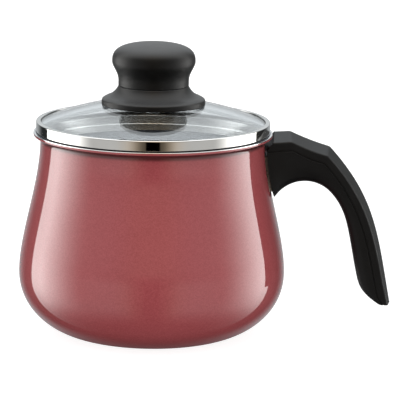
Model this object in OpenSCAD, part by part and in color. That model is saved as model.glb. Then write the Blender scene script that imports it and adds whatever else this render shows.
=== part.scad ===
// Saucepan with a glass lid.
// The origin is the centre of the foot, on the pan's axis. +Z is up and +X points to the handle.
// All sizes are in millimetres.

/* [Pan] */
// Largest outer diameter of the belly
belly_d = 162; // [140:1:196]
// Height of the widest part of the belly
belly_h = 37.5; // [31:0.5:45]
// Diameter of the flat foot
foot_d = 90; // [70:1:108]
// Outer diameter of the neck
neck_d = 136.4; // [110:0.2:148]
// Height of the rim
pan_h = 123.4; // [102:0.2:150]
// Wall thickness
wall = 1.8; // [1.4:0.1:2.6]
// Width of the turned-out rim, past the neck
rim_w = 3.8; // [3:0.1:6]
// Radius under the turned-out rim
rim_r = 3; // [2:0.1:4]
// Depth of the grooves turned in the foot
groove_depth = 0.4; // [0.2:0.05:0.6]
// Spacing of the grooves turned in the foot
groove_pitch = 5; // [3:0.5:10]

/* [Lid] */
// Glass thickness
glass_t = 4; // [3:0.1:5]
// Radius of curvature of the glass
dome_r = 178; // [150:1:260]
// Thickness of the steel band
band_t = 0.6; // [0.4:0.1:0.8]
// How far the band stays inside the rim's edge
band_inset = 1.2; // [0.5:0.1:2]
// How far the band stands above the rim
band_h = 6.8; // [6:0.1:9]
// Width of the band's lip over the glass
lip_w = 2.8; // [2:0.1:4]
// Length of the skirt inside the neck
skirt_h = 9.4; // [8:0.2:12]
// How far the skirt narrows from its top to its lower end
skirt_taper = 1.6; // [0.5:0.1:3]
// How far below the rim the skirt is stepped in
skirt_step_down = 5; // [3:0.2:6.5]
// Width of the skirt's step
skirt_step = 0.4; // [0.2:0.1:0.8]
// Gap round the skirt inside the neck
skirt_gap = 0.6; // [0.3:0.1:1.5]
// Hole in the steam vent
vent_d = 2.4; // [1.5:0.1:4]
// Distance of the steam vent behind the axis
vent_y = 46; // [38:1:52]

/* [Knob] */
// Diameter of the knob's foot
knob_foot_d = 62.8; // [50:0.2:76]
// Diameter of the knob's waist
waist_d = 42.8; // [36:0.2:52]
// Largest diameter of the knob's cap
cap_d = 50.4; // [42:0.2:62]
// Height of the knob's base
knob_base_h = 11.4; // [9:0.2:14]
// Height of the knob's cap
cap_h = 26.2; // [20:0.2:32]
// Thread diameter of the knob screw
knob_thread_d = 5; // [4:1:6]

/* [Handle] */
// Half-width of the handle where it meets the pan
root_half = 14; // [11:0.2:17]
// Half-width of the handle at its lower end
end_half = 9.6; // [8:0.2:13]
// How far the handle's first corner stands out from the neck
corner1_out = 14.7; // [10:0.5:20]
// Height of the handle's first corner above the rim
corner1_up = 1.6; // [0:0.1:2.4]
// How far the handle's second corner stands out from the neck
corner2_out = 39.2; // [34:0.5:46]
// How far the second corner is below the rim
corner2_down = 7.6; // [5:0.2:10]
// How far the lower end stands out from the neck
tip_out = 78.2; // [70:0.5:90]
// Height of the lower end above the table
tip_h = 18.6; // [10:0.2:30]
// Radius of the finger arch
arch_r = 21.5; // [19:0.5:24]
// How far the arch's centre stands out from the neck
arch_out = 24.1; // [22:0.5:27]
// How far the arch's centre is below the rim
arch_down = 49.9; // [46:0.5:54]
// Width of the groove between the cover and the body
seam_w = 1; // [0.6:0.1:1.6]
// Depth of the groove between the cover and the body
seam_d = 0.8; // [0.4:0.1:1.2]
// Gap between the pan's wall and the handle
wall_gap = 1.5; // [0.8:0.1:2.5]

/* [Bracket] */
// Thickness of the bracket's steel
bracket_t = 2; // [1.5:0.1:2.5]
// Width of the bracket
bracket_w = 20; // [16:0.5:22]
// Height of the bracket's plate
plate_h = 21.4; // [20:0.2:22]
// How far the top of the plate is below the rim
plate_down = 13; // [12:0.2:14]
// Width of the bracket's tongue
tongue_w = 13; // [11:0.5:15]
// Thickness of the bracket's tongue
tongue_t = 3; // [2.5:0.1:3.5]
// How far the tongue's underside is below the rim
tongue_down = 17.9; // [17.3:0.1:18.4]
// Thread diameter of the handle screw
screw_d = 5; // [4:1:6]
// How far the handle screw stands out from the neck
screw_out = 17; // [16:0.5:18]
// Diameter of the bracket's rivets
rivet_d = 4.5; // [3.5:0.5:5]
// Distance between the bracket's rivets
rivet_pitch = 8; // [7.5:0.1:8.2]
// Diameter of the rivet heads
rivet_head_d = 7.6; // [6.5:0.1:7.6]
// Height of the rivet heads
rivet_head_h = 1.2; // [0.8:0.1:1.5]

/* [Fits] */
// Vertical gap where the lid rests on the rim
seat_gap = 0.05; // [0.02:0.01:0.1]
// Gap between pieces that are slid together
slide_gap = 0.2; // [0.1:0.05:0.3]
// Gap round a screw in a clearance hole
hole_gap = 0.25; // [0.1:0.05:0.5]

/* [Hidden] */
$fn = 96;
cut = 1; // how far a cutting shape runs past what it cuts

// ---- Pan profile -----------------------------------------------------------
belly_r = belly_d / 2;
foot_r = foot_d / 2;
neck_r = neck_d / 2;
rim_out_r = neck_r + rim_w;
neck_h = pan_h - wall - rim_r;
bore_r = neck_r - wall;

// Handles of the two cubic curves that shape the wall, as shares of each curve's rise
foot_pull = 0.32 * belly_h;
belly_low_pull = 0.68 * belly_h;
belly_high_pull = 0.28 * (neck_h - belly_h);
neck_pull = 0.33 * (neck_h - belly_h);
knuckle = [[foot_r, 0], [foot_r + foot_pull, 0], [belly_r, belly_h - belly_low_pull], [belly_r, belly_h]];
shoulder = [[belly_r, belly_h], [belly_r, belly_h + belly_high_pull],
            [neck_r, neck_h - neck_pull], [neck_r, neck_h]];
knuckle_steps = 14;
shoulder_steps = 18;
rim_steps = 6;

// A point of a cubic Bezier curve, its direction, and a point set off square to it
function bez(p, t) = pow(1 - t, 3) * p[0] + 3 * pow(1 - t, 2) * t * p[1]
                   + 3 * (1 - t) * t * t * p[2] + pow(t, 3) * p[3];
function bez_dir(p, t) = pow(1 - t, 2) * (p[1] - p[0]) + 2 * (1 - t) * t * (p[2] - p[1])
                       + t * t * (p[3] - p[2]);
function outward(v) = [v[1], -v[0]] / norm(v);
function bez_off(p, t, off) = bez(p, t) + off * outward(bez_dir(p, t));
function curve(p, n, off = 0) = [for (i = [0 : n]) bez_off(p, i / n, off)];
function tail(list) = [for (i = [1 : len(list) - 1]) list[i]];
function flip(list) = [for (i = [len(list) - 1 : -1 : 0]) list[i]];

// The outer side, set off outwards, from the foot's edge to the neck
function wall_line(off) = concat(curve(knuckle, knuckle_steps, off),
                                 tail(curve(shoulder, shoulder_steps, off)));
// The arc that turns the wall out into the rim: its centre stands outside the neck
function rim_arc(r) = [for (i = [1 : rim_steps])
    let (a = 180 - 90 * i / rim_steps) [neck_r + rim_r + r * cos(a), neck_h + r * sin(a)]];

// A ring that hugs the wall between two offsets, over the shoulder's whole height
module wall_shell(off1, off2) {
    rotate_extrude()
        polygon(concat(curve(shoulder, shoulder_steps, off1), flip(curve(shoulder, shoulder_steps, off2))));
}

// Everything inside the pan's outline, grown by a gap, up to past the rim and the lid
module pan_space(gap) {
    line = wall_line(gap);
    past = rim_out_r + gap / 2;
    rotate_extrude()
        polygon(concat([[0, -cut]], [[line[0][0], -cut]], line,
                       [[past, neck_h], [past, pan_h + band_h], [0, pan_h + band_h]]));
}

module pan_section() {
    inner = concat(wall_line(-wall), rim_arc(rim_r + wall));
    outer = concat(wall_line(0), rim_arc(rim_r));
    rim_edge = [[rim_out_r, pan_h - wall], [rim_out_r, pan_h]];
    polygon(concat([[0, 0]], outer, rim_edge, flip(inner), [[0, wall]]));
}

// ---- Handle fixing ---------------------------------------------------------
plate_top = pan_h - plate_down;
plate_bottom = plate_top - plate_h;
tongue_bottom = pan_h - tongue_down;
tongue_top = tongue_bottom + tongue_t;
nut_across = 8;
nut_land = 3; // how far the tongue reaches past the nut
screw_x = neck_r + screw_out;
tongue_end = screw_x + nut_across / 2 + nut_land;
tongue_start = neck_r + bracket_t / 2;
rivet_edge = 4.5; // distance of the lower rivet from the plate's end
rivet_z = [plate_bottom + rivet_edge, plate_bottom + rivet_edge + rivet_pitch];
set_head_in = 0.4; // the set head, on the handle's side, is smaller by this
rivet_out_r = rivet_head_d / 2 - set_head_in;
nut_h = 3.2;
head_d = 9.4;
head_h = 3;
washer_t = 1;
washer_d = 10.4;
clamp_t = 6; // the handle's plastic between the washer and the tongue
screw_seat = tongue_bottom - clamp_t;
screw_end_in = 0.5; // the screw's end stays this far inside the nut
well_len = 30; // the nut's well runs up through the joint
bore_len = 20; // the screw's hole and its counterbore run out through the body
driver_r = 1.6;

// A cylinder along X at a height
module along_x(r, z) { translate([0, 0, z]) rotate([0, 90, 0]) cylinder(h = 2 * belly_r, r = r); }

module plate_box(extra = 0) {
    translate([0, -bracket_w / 2 - extra, plate_bottom - extra])
        cube([2 * belly_r, bracket_w + 2 * extra, plate_h + 2 * extra]);
}

// ---- Handle curves ---------------------------------------------------------
corner1 = [neck_r + corner1_out, pan_h + corner1_up];
corner2 = [neck_r + corner2_out, pan_h - corner2_down];
tip = [neck_r + tip_out, tip_h];
arch_c = [neck_r + arch_out, pan_h - arch_down];
root_x = neck_r - 2;
root_drop = 1; // the top falls this much from the first corner back to the pan
lug_low = 4.6; // the lug's underside falls this much from the arch back to the pan
heel_w = 7.6; // width of the lower end's flat
grip_in = 20.4; // the grip's inner line ends this far back from the tip
grip_up = 15; // and this far above it
heel = [tip[0] - heel_w, tip_h];
grip_end = [tip[0] - grip_in, tip_h + grip_up];

// Shares that pull the curves: across and down for the ridge, along the drop for the grip
knee_bulge = [0.5, -1.3];
ridge_pull = [[0.74, 0.32], [0.79, 0.55]];
grip_pull = [0.23, 0.44];
grip_lean = 0.23;
heel_pull = [1.5, 7];
ridge_mid = (corner1 + corner2) / 2 + knee_bulge;
fall = tip - corner2;
function part_way(share) = corner2 + [share[0] * fall[0], share[1] * fall[1]];
ridge = [corner2, part_way(ridge_pull[0]), part_way(ridge_pull[1]), tip];
function arch(a) = arch_c + arch_r * [cos(a), sin(a)];
// Angles of the arch at the lug's two stations, at both ends of the knee, and at the grip's start
lug_angle = 150;
near_angle = 128;
knee_angle = 105;
turn_angle = 75;
grip_angle = 45;
grip_start = arch(grip_angle);
grip_drop = grip_start[1] - grip_end[1];
grip = [grip_start, grip_start + grip_pull[0] * grip_drop * [1, -1],
        grip_end + grip_pull[1] * grip_drop * [-grip_lean, 1], grip_end];
heel_ctl = [grip_end[0] + heel_pull[0], tip_h + heel_pull[1]];
function quad(a, b, c, t) = pow(1 - t, 2) * a + 2 * (1 - t) * t * b + t * t * c;

// Stations along the handle: each pairs a point on the outer ridge with one on the inner side
n_knee = 5;
n_turn = 4;
n_grip = 12;
n_heel = 6;
turn_share = 0.13; // share of the long curve spent going round the arch
grip_share = 0.85; // share of the long curve reached at the heel
stations = concat(
    [[[root_x, corner1[1] - root_drop], [root_x, arch(lug_angle)[1] - lug_low]],
     [[arch(lug_angle)[0], corner1[1] - root_drop / 2], arch(lug_angle)],
     [[arch(near_angle)[0], corner1[1] - root_drop / 4], arch(near_angle)]],
    [for (i = [0 : n_knee]) [quad(corner1, ridge_mid, corner2, i / n_knee),
                             arch(knee_angle + (turn_angle - knee_angle) * i / n_knee)]],
    [for (i = [1 : n_turn]) [bez(ridge, turn_share * i / n_turn),
                             arch(turn_angle + (grip_angle - turn_angle) * i / n_turn)]],
    [for (i = [1 : n_grip]) [bez(ridge, turn_share + (grip_share - turn_share) * i / n_grip),
                             bez(grip, i / n_grip)]],
    [for (i = [1 : n_heel]) [bez(ridge, grip_share + (1 - grip_share) * i / n_heel),
                             quad(grip_end, heel_ctl, heel, i / n_heel)]]);
last = len(stations) - 1;

// Depths below the ridge at station i: the cover's edge and the joint between cover and body
edge_root = 6;
edge_end = 2.1;
joint_root = 10;
joint_end = 6.8;
joint_share = 0.56;
thin_power = 0.8; // how early along the handle it gets narrower
// Width and depth shares of the inner side's corners
palm = [[0.95, 0.55], [0.82, 0.86], [0.55, 1]];
function mix(a, b, t) = a + (b - a) * t;
function share(i) = i / last;
function half(i) = mix(root_half, end_half, pow(share(i), thin_power));
function deep(i) = norm(stations[i][1] - stations[i][0]);
function joint(i) = min(mix(joint_root, joint_end, share(i)), joint_share * deep(i));
function edge(i) = min(mix(edge_root, edge_end, share(i)), 0.5 * joint(i));

// Places a section's [width, depth] points at station i
function place(i, pts) = let (o = stations[i][0], u = (stations[i][1] - o) / deep(i))
    [for (p = pts) [o[0] + u[0] * p[1], p[0], o[1] + u[1] * p[1]]];

// A solid through a row of closed sections with the same number of points
module loft(rings) {
    n = len(rings[0]);
    m = len(rings);
    sides = [for (i = [0 : m - 2], j = [0 : n - 1]) [i * n + j, i * n + (j + 1) % n,
                                                    (i + 1) * n + (j + 1) % n, (i + 1) * n + j]];
    ends = [[for (j = [n - 1 : -1 : 0]) j], [for (j = [0 : n - 1]) (m - 1) * n + j]];
    polyhedron(points = [for (r = rings, p = r) p], faces = concat(sides, ends));
}

function both_sides(pts) = concat(pts, [for (p = flip(pts)) if (p[0] > 0) [-p[0], p[1]]]);
function cover_section(i) = [[0, 0], [half(i), edge(i)], [half(i), joint(i)], [-half(i), joint(i)],
                             [-half(i), edge(i)]];
function body_section(i) = let (w = half(i), c = joint(i), b = deep(i) - c, g = min(seam_w, b / 4))
    both_sides(concat([[w - seam_d, c], [w - seam_d, c + g], [w, c + g]],
                      [for (p = palm) [w * p[0], c + b * p[1]]]));

// The cover's two pegs: a place on the joint, the station they follow, and their size
peg_stations = [11, 20];
peg_d = 5;
peg_len = 5;
module pegs(gap) {
    for (i = peg_stations) {
        o = stations[i][0];
        u = (stations[i][1] - o) / deep(i);
        translate([o[0] + u[0] * (joint(i) - cut), 0, o[1] + u[1] * (joint(i) - cut)])
            rotate([0, 90 + atan2(-u[1], u[0]), 0])
                cylinder(h = peg_len + cut + gap, r = peg_d / 2 + gap);
    }
}

// ---- Lid heights -----------------------------------------------------------
seat = pan_h + seat_gap;
flange_top = seat + band_t;
band_r = rim_out_r - band_inset;
band_top = pan_h + band_h;
band_gap = 0.1; // gap between the glass and the band
glass_r = band_r - band_t - band_gap;
skirt_r = bore_r - skirt_gap;
under_r = dome_r - glass_t;
dome_z = flange_top + band_gap - sqrt(pow(under_r, 2) - pow(glass_r, 2)); // centre of the glass's spheres
function glass_top(r) = dome_z + sqrt(pow(dome_r, 2) - pow(r, 2));
function glass_under(r) = dome_z + sqrt(pow(under_r, 2) - pow(r, 2));
vent_tilt = asin(vent_y / dome_r);
vent_wall = 0.8;
vent_out_r = vent_d / 2 + vent_wall;
vent_flange_r = vent_d / 2 + 2;
vent_flange_t = 0.9;
// The vent's own frame: on the glass's centre of curvature, with Z square to the glass
module at_vent() { translate([0, 0, dome_z]) rotate([-vent_tilt, 0, 0]) children(); }
knob_foot_r = knob_foot_d / 2;
knob_z = glass_top(knob_foot_r) + band_gap; // underside of the knob's foot
seam_z = knob_z + knob_base_h;
knob_top = seam_z + cap_h;
lid_hole_r = 4.5;
gasket_t = 1;
gasket_r = 9;
cup_t = 1.2;
cup_r = 11;
insert_r = 4;
insert_len = 12;
boss_r = 8;
screw_head_r = 4.6;
screw_head_h = 2.8;
cup_z = glass_under(0) - gasket_t - cup_t; // underside of the steel washer
insert_sink = 6; // the insert reaches this far below the seam
insert_z = seam_z - insert_sink;
screw_short = 3; // the knob screw stops this far below the insert's end
thread_r = knob_thread_d / 2;

// Knob outlines: [outwards, upwards] steps from the edge named
foot_side_h = 3.2; // upright side of the foot
foot_break = 0.3; // broken edge under the foot
foot_draft = 0.1; // the side leans in by this
flare_start = [-2.6, 1.5]; // from the side's top edge
flare_low = [3.6, -5.6]; // from the waist at the seam
flare_high = [1, -2.6];
seam_in = 0.6; // the cap's lower edge stands back from the waist
seam_out = 0.1;
seam_break = 0.5;
swell_start = 3.4; // height above the seam where the cap starts to swell
swell_low = 8.6;
swell_high = 3.4; // below the widest place
widest_share = 0.575; // of the cap's height
crown_up = 5.4;
crown_share = 0.93; // of the cap's radius

// ---- Pan -------------------------------------------------------------------
module pan_body() color("#a4474b") {
    difference() {
        rotate_extrude() pan_section();
        for (r = [groove_pitch : groove_pitch : foot_r - groove_pitch])
            rotate_extrude() translate([r, 0]) circle(r = groove_depth);
        for (z = rivet_z) along_x(rivet_d / 2, z);
    }
}

// ---- Handle ----------------------------------------------------------------
module handle_bracket() color("#b9bbbd") {
    difference() {
        union() {
            intersection() {
                wall_shell(0, bracket_t);
                plate_box();
            }
            difference() {
                translate([tongue_start, -tongue_w / 2, tongue_bottom])
                    cube([tongue_end - tongue_start, tongue_w, tongue_t]);
                wall_shell(-wall, bracket_t / 2);
            }
        }
        for (z = rivet_z) along_x(rivet_d / 2, z);
        translate([screw_x, 0, tongue_bottom - cut])
            cylinder(h = tongue_t + 2 * cut, r = screw_d / 2 + hole_gap);
    }
}

module bracket_rivets() color("#c9cacc") {
    for (z = rivet_z) {
        intersection() {
            wall_shell(-wall - rivet_head_h, -wall);
            along_x(rivet_head_d / 2, z);
        }
        intersection() {
            wall_shell(-wall - rivet_head_h / 2, bracket_t + rivet_head_h / 2);
            along_x(rivet_d / 2, z);
        }
        intersection() {
            wall_shell(bracket_t, bracket_t + rivet_head_h);
            along_x(rivet_out_r, z);
        }
    }
}

module bracket_nut() color("#c2c4c6") {
    translate([screw_x, 0, tongue_top]) difference() {
        cylinder(h = nut_h, r = nut_across / 2 / cos(30), $fn = 6);
        translate([0, 0, -cut]) cylinder(h = nut_h + 2 * cut, r = screw_d / 2);
    }
}

module handle_body() color("#1d1e1f") {
    difference() {
        loft([for (i = [0 : last]) place(i, body_section(i))]);
        pan_space(wall_gap);
        // recesses for the bracket's plate and for its rivets
        intersection() {
            wall_shell(wall_gap / 2, bracket_t + slide_gap);
            plate_box(slide_gap);
        }
        for (z = rivet_z) intersection() {
            wall_shell(wall_gap / 2, bracket_t + rivet_head_h + slide_gap);
            along_x(rivet_out_r + slide_gap, z);
        }
        // slot for the tongue, and a well for the nut that the cover closes
        translate([neck_r, -tongue_w / 2 - slide_gap, tongue_bottom - slide_gap])
            cube([tongue_end - neck_r + slide_gap, tongue_w + 2 * slide_gap, tongue_t + 2 * slide_gap]);
        translate([screw_x, 0, tongue_top])
            cylinder(h = well_len, r = nut_across / 2 / cos(30) + slide_gap, $fn = 6);
        // hole and counterbore for the screw
        translate([screw_x, 0, screw_seat - cut]) cylinder(h = bore_len, r = screw_d / 2 + hole_gap);
        translate([screw_x, 0, screw_seat - bore_len]) cylinder(h = bore_len, r = washer_d / 2 + hole_gap);
        pegs(slide_gap);
    }
}

module handle_cover() color("#232425") {
    difference() {
        union() {
            loft([for (i = [0 : last]) place(i, cover_section(i))]);
            pegs(0);
        }
        pan_space(wall_gap);
    }
}

module handle_screw() color("#c2c4c6") {
    translate([screw_x, 0, 0]) difference() {
        union() {
            translate([0, 0, screw_seat - washer_t - head_h]) cylinder(h = head_h, r = head_d / 2);
            translate([0, 0, screw_seat - washer_t - cut])
                cylinder(h = tongue_top + nut_h - screw_end_in - (screw_seat - washer_t - cut),
                         r = screw_d / 2);
        }
        for (a = [0, 90]) rotate([0, 0, a])
            translate([-driver_r * 1.5, -driver_r / 3, screw_seat - washer_t - head_h - cut])
                cube([driver_r * 3, driver_r / 1.5, driver_r + cut]);
    }
}

module handle_washer() color("#b4b6b8") {
    translate([screw_x, 0, screw_seat - washer_t]) difference() {
        cylinder(h = washer_t, r = washer_d / 2);
        translate([0, 0, -cut]) cylinder(h = washer_t + 2 * cut, r = screw_d / 2 + hole_gap);
    }
}

// ---- Lid -------------------------------------------------------------------
module lid_glass() color("#c3ced6", 0.45) {
    difference() {
        intersection() {
            translate([0, 0, dome_z]) difference() {
                sphere(r = dome_r);
                sphere(r = under_r);
            }
            translate([0, 0, seat]) cylinder(h = dome_r, r = glass_r);
        }
        translate([0, 0, seat]) cylinder(h = dome_r, r = lid_hole_r);
        at_vent() translate([0, 0, under_r - cut])
            cylinder(h = glass_t + 2 * cut, r = vent_out_r + slide_gap);
    }
}

module lid_band() color("#d6d7d6") {
    lip_in = band_r - lip_w;
    inner_r = band_r - band_t;
    step_z = seat - skirt_step_down;
    step_r = skirt_r - skirt_taper * skirt_step_down / skirt_h;
    end_r = skirt_r - skirt_taper - skirt_step;
    rotate_extrude() polygon([
        [end_r - band_t, seat - skirt_h], [end_r, seat - skirt_h], [step_r - skirt_step, step_z - band_t],
        [step_r, step_z], [skirt_r, seat],
        [band_r, seat], [band_r, band_top - band_t / 2], [band_r - band_t / 2, band_top],
        [lip_in, band_top], [lip_in, glass_top(lip_in) + band_gap], [inner_r, glass_top(inner_r) + band_gap],
        [inner_r, flange_top], [skirt_r - band_t, flange_top], [step_r - band_t, step_z + band_t / 2],
        [step_r - skirt_step - band_t, step_z - band_t / 2]]);
}

module vent_eyelet() color("#c9cacc") {
    under_z = sqrt(pow(under_r, 2) - pow(vent_flange_r, 2));
    at_vent() difference() {
        union() {
            translate([0, 0, dome_r]) cylinder(h = vent_flange_t, r = vent_flange_r);
            translate([0, 0, under_z - vent_flange_t]) cylinder(h = vent_flange_t, r = vent_flange_r);
            translate([0, 0, under_z - vent_flange_t / 2])
                cylinder(h = dome_r - under_z + vent_flange_t, r = vent_out_r);
        }
        translate([0, 0, under_r - 2 * vent_flange_r])
            cylinder(h = 4 * vent_flange_r + glass_t, r = vent_d / 2);
    }
}

// ---- Knob ------------------------------------------------------------------
module knob_base() color("#222324") {
    seam = [waist_d / 2, seam_z];
    flare = [[knob_foot_r, knob_z + foot_side_h] + flare_start, seam + flare_low, seam + flare_high, seam];
    difference() {
        rotate_extrude() polygon(concat(
            [[boss_r + slide_gap, glass_top(0) - cut], [knob_foot_r - foot_break, knob_z],
             [knob_foot_r, knob_z + foot_break], [knob_foot_r - foot_draft, knob_z + foot_side_h]],
            curve(flare, 8), [[boss_r + slide_gap, seam_z]]));
        translate([0, 0, dome_z]) sphere(r = dome_r + band_gap);
        translate([0, 0, glass_top(0) - cut]) cylinder(h = gasket_t + cut, r = gasket_r + slide_gap);
    }
}

module knob_cap() color("#1b1c1d") {
    waist_r = waist_d / 2;
    cap_r = cap_d / 2;
    widest = seam_z + widest_share * cap_h;
    swell = [[waist_r - seam_out, seam_z + swell_start], [waist_r, seam_z + swell_low],
             [cap_r, widest - swell_high], [cap_r, widest]];
    crown = [[cap_r, widest], [cap_r, widest + crown_up], [crown_share * cap_r, knob_top], [0, knob_top]];
    difference() {
        rotate_extrude() polygon(concat(
            [[0, seam_z], [waist_r - seam_in, seam_z], [waist_r - seam_out, seam_z + seam_break]],
            curve(swell, 10), tail(curve(crown, 12))));
        translate([0, 0, seam_z - cut]) cylinder(h = insert_len - insert_sink + cut, r = insert_r);
    }
    // the boss that reaches down through the knob's base and holds the insert
    difference() {
        translate([0, 0, insert_z]) cylinder(h = seam_z - insert_z, r = boss_r);
        translate([0, 0, insert_z - cut]) cylinder(h = seam_z - insert_z + 2 * cut, r = insert_r);
    }
}

module knob_insert() color("#c9a552") {
    translate([0, 0, insert_z]) difference() {
        cylinder(h = insert_len, r = insert_r);
        translate([0, 0, -cut]) cylinder(h = insert_len, r = thread_r);
    }
}

module knob_screw() color("#c2c4c6") {
    difference() {
        union() {
            translate([0, 0, cup_z - screw_head_h]) cylinder(h = screw_head_h, r = screw_head_r);
            translate([0, 0, cup_z - cut])
                cylinder(h = insert_z + insert_len - screw_short - cup_z + cut, r = thread_r);
        }
        for (a = [0, 90]) rotate([0, 0, a])
            translate([-driver_r * 1.5, -driver_r / 3, cup_z - screw_head_h - cut])
                cube([driver_r * 3, driver_r / 1.5, driver_r + cut]);
    }
}

module knob_washer() color("#c9cacc") {
    translate([0, 0, cup_z]) difference() {
        cylinder(h = cup_t, r = cup_r);
        translate([0, 0, -cut]) cylinder(h = cup_t + 2 * cut, r = thread_r + hole_gap);
    }
}

module knob_lower_gasket() color("#dcdcd6") {
    hole = thread_r + hole_gap;
    floor_z = cup_z + cup_t;
    rotate_extrude() polygon([[hole, floor_z], [gasket_r, floor_z], [gasket_r, glass_under(gasket_r)],
                              [hole, glass_under(hole)]]);
}

module knob_upper_gasket() color("#dcdcd6") {
    hole = thread_r + hole_gap;
    roof_z = glass_top(0) + gasket_t;
    rotate_extrude() polygon([[hole, glass_top(hole) + band_gap], [gasket_r, glass_top(gasket_r) + band_gap],
                              [gasket_r, roof_z], [hole, roof_z]]);
}

pan_body();
handle_bracket();
bracket_rivets();
bracket_nut();
handle_body();
handle_cover();
handle_screw();
handle_washer();
lid_glass();
lid_band();
vent_eyelet();
knob_base();
knob_cap();
knob_insert();
knob_screw();
knob_washer();
knob_lower_gasket();
knob_upper_gasket();
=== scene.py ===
# %% [markdown]
# # A saucepan with a glass lid
# The pan is one deep-drawn aluminium shell with a red gloss coat outside, a grey non-stick coat inside
# and a bare turned foot. The lid is a dome of tempered glass in a polished steel band, with a black knob.
# The handle is two black mouldings on a steel bracket.
#
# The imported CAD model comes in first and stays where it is. It gives the sizes, the fittings that need only
# a finish, and the bodies that the smooth pieces ride on: **pan**, and **lid**, which lifts off.

# %% Load the frame
import math

import bpy
import numpy as np
from mathutils import Matrix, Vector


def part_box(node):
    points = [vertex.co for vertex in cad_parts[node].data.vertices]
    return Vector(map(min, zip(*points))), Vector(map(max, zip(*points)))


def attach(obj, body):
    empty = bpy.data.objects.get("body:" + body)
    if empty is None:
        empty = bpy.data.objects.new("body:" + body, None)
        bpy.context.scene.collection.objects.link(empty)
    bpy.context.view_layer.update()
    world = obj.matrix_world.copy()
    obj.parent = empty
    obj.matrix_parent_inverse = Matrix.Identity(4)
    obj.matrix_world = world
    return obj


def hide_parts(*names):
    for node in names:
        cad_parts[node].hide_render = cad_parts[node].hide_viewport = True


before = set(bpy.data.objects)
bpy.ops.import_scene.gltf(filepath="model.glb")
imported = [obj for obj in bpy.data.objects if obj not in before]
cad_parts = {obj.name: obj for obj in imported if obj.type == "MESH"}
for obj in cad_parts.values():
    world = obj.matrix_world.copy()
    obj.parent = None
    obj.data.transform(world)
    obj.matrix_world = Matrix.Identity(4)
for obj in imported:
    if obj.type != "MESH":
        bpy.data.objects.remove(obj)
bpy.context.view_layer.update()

# %% [markdown]
# ## Sizes
# The smooth pieces follow the same curves as the CAD, so they start from the same few sizes. Four things
# differ: the rim is 0.4 mm wider, the band has a rebate at the foot of its wall, and the hidden rivet holes
# of the pan and pegs of the handle cover are left out. The outer sizes are read from the CAD nodes' boxes,
# and the rest are written down. All are in millimetres, because that is how a pan is drawn, and the mesh
# maker turns them to metres.

# %% Sizes in millimetres
MM = 0.001
pan_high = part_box("pan_body")[1]
band_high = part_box("lid_band")[1]
glass_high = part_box("lid_glass")[1]
base_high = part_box("knob_base")[1]
cap_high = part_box("knob_cap")[1]

belly_r = pan_high.x / MM
pan_h = pan_high.z / MM
band_r = band_high.x / MM
band_top = band_high.z / MM
glass_r = glass_high.x / MM
knob_foot_r = base_high.x / MM
seam_z = base_high.z / MM
cap_r = cap_high.x / MM
knob_top = cap_high.z / MM

belly_h = 37.5
foot_r = 45.0
neck_r = 68.2
wall = 1.8
rim_w = 4.2
rim_r = 3.0
band_t = 0.6
skirt_h = 9.4
skirt_taper = 1.6
skirt_step_down = 5.0
skirt_step = 0.4
skirt_gap = 0.6
lip_w = 2.8
dome_r = 178.0
glass_t = 4.0
fit_gap = 0.1
rim_out_r = neck_r + rim_w
neck_h = pan_h - wall - rim_r
print(f"belly {belly_r:.1f}, rim {rim_out_r:.1f} at {pan_h:.1f}, knob top {knob_top:.1f}")

# %% [markdown]
# ## From a grid of points to a mesh
# Every piece here is a surface of two parameters: a row and a column of a grid. The columns always
# close on themselves. The rows either close as well, as in a ring, or start and end at a pole, where a
# whole row is one point and the faces are a fan of triangles. Counting the vertices from whole arrays
# keeps seams and poles closed, and the signed volume shows whether the faces point outwards.

# %% The surface maker
def grid_faces(rows, cols, ring):
    """Quads (a, a+1, b+1, b) between a row a and the next row b; the last column joins the first."""
    row = np.arange(rows if ring else rows - 1)[:, None]
    col = np.arange(cols)[None, :]
    after = (col + 1) % cols
    below = (row + 1) % rows
    quads = (row * cols + col, row * cols + after, below * cols + after, below * cols + col)
    return np.stack(quads, axis=-1).reshape(-1, 4)


def signed_volume(points, faces):
    """Sum over each face's fan of triangles of v0 . (v1 x v2) / 6: positive when the faces point outwards."""
    fans = np.concatenate([faces[:, [0, 1, 2]], faces[:, [0, 2, 3]]])
    a, b, c = points[fans[:, 0]], points[fans[:, 1]], points[fans[:, 2]]
    return float(np.einsum("ij,ij->i", a, np.cross(b, c)).sum() / 6)


def surface(name, grid, ring=False, row_finish=None):
    """Makes a closed mesh from a (rows, columns, 3) grid in mm; without ring the end rows are poles."""
    rows, cols, _ = grid.shape
    points = grid.reshape(-1, 3)
    faces = grid_faces(rows, cols, ring)
    finish = np.repeat(np.zeros(len(faces) // cols, int) if row_finish is None else row_finish, cols)
    if not ring:
        poles = (np.arange(rows * cols) < cols) | (np.arange(rows * cols) >= (rows - 1) * cols)
        merged = np.arange(rows * cols)
        merged[:cols] = 0
        merged[(rows - 1) * cols:] = (rows - 1) * cols
        faces = merged[faces]
        kept = np.flatnonzero(~poles | (merged == np.arange(rows * cols)))
        renumber = np.zeros(rows * cols, int)
        renumber[kept] = np.arange(len(kept))
        points, faces = points[kept], renumber[faces]
    volume = signed_volume(points, faces)
    if volume < 0:
        faces = faces[:, ::-1]
    lists = [[v for k, v in enumerate(f) if v != f[k - 1]] for f in faces.tolist()]
    mesh = bpy.data.meshes.new(name)
    mesh.from_pydata((points * MM).tolist(), [], lists)
    mesh.polygons.foreach_set("material_index", finish.astype(np.int32))
    mesh.polygons.foreach_set("use_smooth", np.ones(len(lists), bool))
    mesh.update()
    piece = bpy.data.objects.new(name, mesh)
    bpy.context.scene.collection.objects.link(piece)
    print(f"{name}: {len(points)} vertices, {len(lists)} faces, {abs(volume) / 1000:.1f} cm3")
    return piece


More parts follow.
